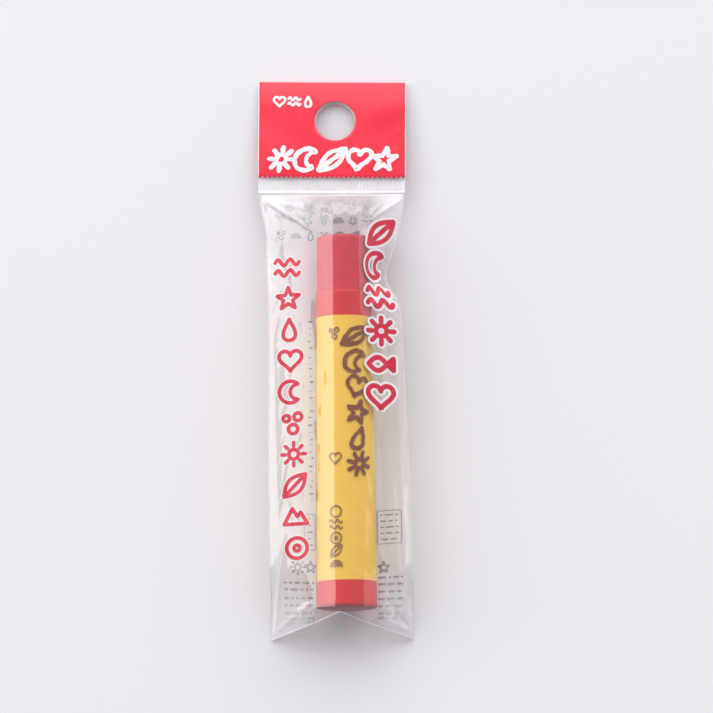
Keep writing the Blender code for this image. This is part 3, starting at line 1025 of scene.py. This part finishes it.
def make_back_prints():
    draw = random.Random(11)
    grey = Print("grey_back_marks", on_bed, 0.2 * MM)
    small = (wave, ring, leaf, sprout, heart, moon, pebbles, rainbow, drop)
    for row, (y, first, last) in enumerate(((28.3, -9.3, 7.0), (25.6, -11.2, 7.4), (22.5, -11.0, 5.0))):
        count = round((last - first) / 2.5)
        for i in range(count):
            x = blend(first, last, (i + 0.5) / count)
            shape = small[(i + 3 * row) % len(small)]
            grey.doodle(shape(), (x * MM, y * MM), 1.9 * MM, 0.27 * MM)
    for y in stations(6.6, -26.0, 26):
        place = (draw.uniform(-4.8, -4.4) * MM, (y + draw.uniform(-0.3, 0.3)) * MM)
        grey.bar(place, draw.uniform(0.3, 0.9) * MM, draw.uniform(0.2, 0.5) * MM)
    for low, high in (((7.2, -34.1), (11.6, -28.1)), ((-6.0, -35.0), (-4.0, -28.6))):
        grey.box(Vector(low) * MM, Vector(high) * MM, 0.16 * MM)
        for y in stations(low[1] + 0.8, high[1] - 0.8, 4):
            greeked_line(grey, draw, y, low[0] + 0.5, high[0] - 0.4, 0.30)
    for centre, size in (((-7.2, -38.2), 2.7), ((-4.9, -38.2), 2.3), ((8.3, -38.4), 2.3)):
        grey.doodle(sun() if size > 2.5 else star(), Vector(centre) * MM, size * MM, 0.34 * MM)
    for y in (-41.0, -42.2, -43.7, -45.0, -46.4, -47.5, -48.3):
        greeked_line(grey, draw, y, -9.8, -4.2, 0.42)
    for y in (-40.2, -41.4, -42.7, -44.0, -45.3, -46.6, -47.5):
        greeked_line(grey, draw, y, 7.2, 11.8, 0.42)
    ink = ink_material("grey_back_ink", rgb(0.17, 0.16, 0.17), rgb(0.32, 0.30, 0.32), 0.5)
    grey.piece(ink, "pouch")


# Header


def on_header(x, y, z):
    return HEADER_PLACE @ Vector((x, y, z))


def make_seal(mat):
    columns = round(2 * HEADER_HALF / RIB_PITCH) * 6
    rows = []
    for y in stations(WEB_HALF, SEAL_TOP, 16):
        row = []
        for x in stations(-HEADER_HALF + 0.1 * MM, HEADER_HALF - 0.1 * MM, columns):
            rib = math.sin(2 * math.pi * x / RIB_PITCH) * RIB_HEIGHT
            deep = blend(0.35, 1.0, smooth_step((x / HEADER_HALF + 1) / 2))
            row.append(on_header(x, y, rib * deep * smooth_step((y - WEB_HALF) / (0.3 * MM))))
        rows.append(row)
    seal = new_object("ribbed_seal", grid_mesh("ribbed_seal", rows), mat)
    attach(seal, "header")
    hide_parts("top_seal_band")


def make_ridge(mat):
    """The film's web over the hinge, from the top of the pouch's films to the seal."""
    rows = []
    left, right = edge_x(SHOULDER_END, -1), edge_x(SHOULDER_END, 1)
    for share in stations(0.0, 1.0, 160):
        low = Vector((blend(left, right, share), SHOULDER_END, RIDGE.z))
        high = on_header((2 * share - 1) * (HEADER_HALF - 0.1 * MM), WEB_HALF, 0.0)
        row = []
        for t in stations(0.0, 1.0, 12):
            crest = 0.17 * MM * (4 * t * (1 - t)) ** 2
            row.append(low.lerp(high, t) + Vector((0, 0, crest)))
        rows.append(row)
    web = new_object("ridge_web", grid_mesh("ridge_web", rows), mat)
    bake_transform(web)


def border_points(foot_y):
    """A panel's outline in header x and y, without its teeth, from its lower left corner round."""
    top = HEADER_TOP - HEADER_OUTER
    points = [Vector((x, foot_y)) for x in stations(-HEADER_HALF, HEADER_HALF, TEETH * TOOTH_STEPS)]
    points += [Vector((HEADER_HALF, y)) for y in stations(foot_y, top, 44)[1:]]
    points += [Vector((x, top)) for x in stations(HEADER_HALF, -HEADER_HALF, HEADER_COLUMNS)[1:]]
    return points + [Vector((-HEADER_HALF, y)) for y in stations(top, foot_y, 44)[1:-1]]


def tooth(number):
    """How far the pinked edge reaches below its roots at the outline's numbered point."""
    return TOOTH_DEPTH * (1 - abs(2 * (number / TOOTH_STEPS % 1.0) - 1))


def header_wave(x, y):
    """How far the front panel stands off its plane: it bows down into its top fold and to the seal."""
    bow_height = 0.34
    low_end, high_end = 9.0 * MM, 15.0 * MM
    top = HEADER_TOP - HEADER_OUTER
    over = max(y - high_end, 0.0) / (top - high_end)
    under = max(low_end - y, 0.0) / (6.5 * MM)
    bow = bow_height * (1 - over**2) * (1 - 0.55 * min(under, 1.0) ** 2)
    low = smooth_step((top - y) / (9 * MM))
    wide = 0.13 * low * grain(x / (7 * MM), y / (6 * MM), 3.0)
    crease = 0.0
    for start, end, height in HEADER_CREASES:
        off, share = from_line(x / MM, y / MM, start, end)
        fade = smooth_step((share + 0.15) / 0.4) * smooth_step((1.15 - share) / 0.4)
        crease += height * fade * math.exp(-abs(off / 0.35))
    return (bow + wide + crease) * MM


def panel_rings(border, hole_centre, hole_radius, toothed, rings=26):
    """Rings of points from the border in to the hole; only the outermost has the teeth."""
    grid = []
    for share in stations(0.0, 1.0, rings):
        line = []
        for number, point in enumerate(border):
            way = (point - hole_centre).normalized()
            place = point.lerp(hole_centre + way * hole_radius, share)
            if toothed and share == 0.0 and number <= TEETH * TOOTH_STEPS:
                place = place - Vector((0.0, tooth(number)))
            line.append(place)
        grid.append(line)
    return grid


def make_header(print_mat, stock_mat):
    shell = bmesh.new()
    spot = shell.verts.layers.float_vector.new("card")
    root_y = HEADER_FOOT + TOOTH_DEPTH

    def add_point(x, y, z):
        vert = shell.verts.new(on_header(x, y, z))
        vert[spot] = Vector((x, y, 0.0))
        return vert

    panels = (
        (1, HOLE, HOLE_R, True),
        (-1, HOLE + Vector((0.05 * MM, -0.10 * MM)), HOLE_R - 0.10 * MM, False),
    )
    for side, centre, radius, toothed in panels:
        rings = []
        for line in panel_rings(border_points(root_y), centre, radius, toothed):
            rings.append([
                add_point(p.x, p.y, side * CARD_R + (header_wave(p.x, p.y) if side > 0 else 0.0))
                for p in line
            ])
        for outer, inner in zip(rings, rings[1:]):
            for i in range(len(outer)):
                k = (i + 1) % len(outer)
                corners = (outer[i], outer[k], inner[k], inner[i])
                shell.faces.new(corners if side > 0 else corners[::-1])
    turns = []
    top = HEADER_TOP - HEADER_OUTER
    for angle in stations(0.0, math.pi, 12):
        y = top + CARD_R * math.sin(angle)
        z = CARD_R * math.cos(angle)
        turns.append([add_point(x, y, z) for x in stations(HEADER_HALF, -HEADER_HALF, HEADER_COLUMNS)])
    for low, high in zip(turns, turns[1:]):
        for i in range(HEADER_COLUMNS):
            shell.faces.new((low[i], high[i], high[i + 1], low[i + 1]))
    bmesh.ops.remove_doubles(shell, verts=shell.verts, dist=0.002 * MM)
    mesh = bpy.data.meshes.new("folded_header")
    shell.to_mesh(mesh)
    shell.free()
    mesh.shade_smooth()
    header = new_object("folded_header", mesh, print_mat, stock_mat)
    card = header.modifiers.new("Solidify", "SOLIDIFY")
    card.thickness = CARD
    card.offset = 0.0
    card.material_offset = 1
    card.material_offset_rim = 1
    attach(header, "header")
    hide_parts("header_strip")


def on_header_front(x, y):
    return on_header(x, y, CARD_R + CARD / 2 + header_wave(x, y) + 3 * INK_LIFT)


def make_header_prints():
    white = Print("white_header_doodles", on_header_front, 0.12 * MM)
    for shape, x in ((sun, -9.2), (moon, -4.5), (leaf, 0.1), (heart, 4.9), (star, 9.6)):
        white.doodle(shape(), (x * MM, 6.1 * MM), 4.5 * MM, 0.95 * MM, brush=0.35, slant=0.2, taper=0.2)
    for shape, x in ((heart, -9.6), (wave, -6.9), (drop, -4.4)):
        white.doodle(shape(), (x * MM, 17.0 * MM), 2.2 * MM, 0.45 * MM, brush=0.15)
    ink = ink_material("white_header_ink", rgb(0.93, 0.89, 0.91), rgb(0.93, 0.76, 0.80), 0.3)
    white.piece(ink, "header")


# Stage


def make_floor():
    mesh = grid_mesh("table", [[Vector((x, y, 0.0)) for x in (-1.5, 1.5)] for y in (-1.5, 1.5)])
    new_object("table", mesh, floor_material())


def softbox(name, place, wide, high, brightness, colour):
    """An even area light that faces the object; brightness is its radiance."""
    data = bpy.data.lights.new(name, "AREA")
    data.shape = "RECTANGLE"
    data.size = wide
    data.size_y = high
    data.energy = brightness * math.pi * wide * high
    data.color = colour
    lamp = bpy.data.objects.new(name, data)
    bpy.context.scene.collection.objects.link(lamp)
    lamp.location = place
    lamp.rotation_euler = (-Vector(place)).to_track_quat("-Z", "Y").to_euler()


def make_lights():
    world = bpy.data.worlds.new("studio")
    bpy.context.scene.world = world
    world.use_nodes = True
    sky = world.node_tree.nodes["Background"]
    sky.inputs["Color"].default_value = rgb(0.98, 0.97, 1.0)
    sky.inputs["Strength"].default_value = 0.43
    softbox("left_softbox", (-1.6, 0.36, 0.72), 1.2, 1.52, 2.45, (1.0, 0.995, 0.99))
    softbox("back_softbox", (0.15, 1.6, 1.0), 3.7, 2.0, 2.25, (0.99, 0.985, 1.0))
    softbox("right_fill", (1.9, 0.64, 0.45), 2.1, 0.88, 0.8, (1.0, 1.0, 1.0))


def make_camera():
    data = bpy.data.cameras.new("camera")
    data.lens = FOCAL
    data.sensor_width = 36.0
    data.clip_start = 0.05
    camera = bpy.data.objects.new("camera", data)
    bpy.context.scene.collection.objects.link(camera)
    back = Vector((0.0, -math.cos(CAMERA_RISE), math.sin(CAMERA_RISE)))
    up = Vector((math.sin(CAMERA_ROLL), math.cos(CAMERA_ROLL), 0.0))
    right = up.cross(back).normalized()
    top = back.cross(right)
    camera.matrix_world = Matrix.LocRotScale(
        CAMERA_AIM + back * CAMERA_FAR, Matrix((right, top, back)).transposed().to_quaternion(), None
    )
    bpy.context.scene.camera = camera


def main():
    make_camera()
    make_floor()
    make_lights()
    bpy.context.scene.view_settings.view_transform = "Standard"

    make_stick()
    make_wrapper()
    make_label_prints()

    front = film_material("front_clear_film", 0.015, rgb(0.99, 0.988, 0.99), crumpled=0.32)
    back = film_material("back_clear_film", 0.030, rgb(0.985, 0.982, 0.985), relief=0.6)
    edge = film_material("welded_film_edge", 0.70, rgb(0.97, 0.97, 0.98), relief=0.3)
    seal = film_material("crimped_film", 0.78, rgb(0.98, 0.98, 0.99), relief=0.1)
    make_films(front, back)
    make_edges(edge)
    make_film_prints()
    make_back_prints()

    make_seal(seal)
    make_ridge(seal)
    make_header(header_material(), stock_material())
    make_header_prints()


main()
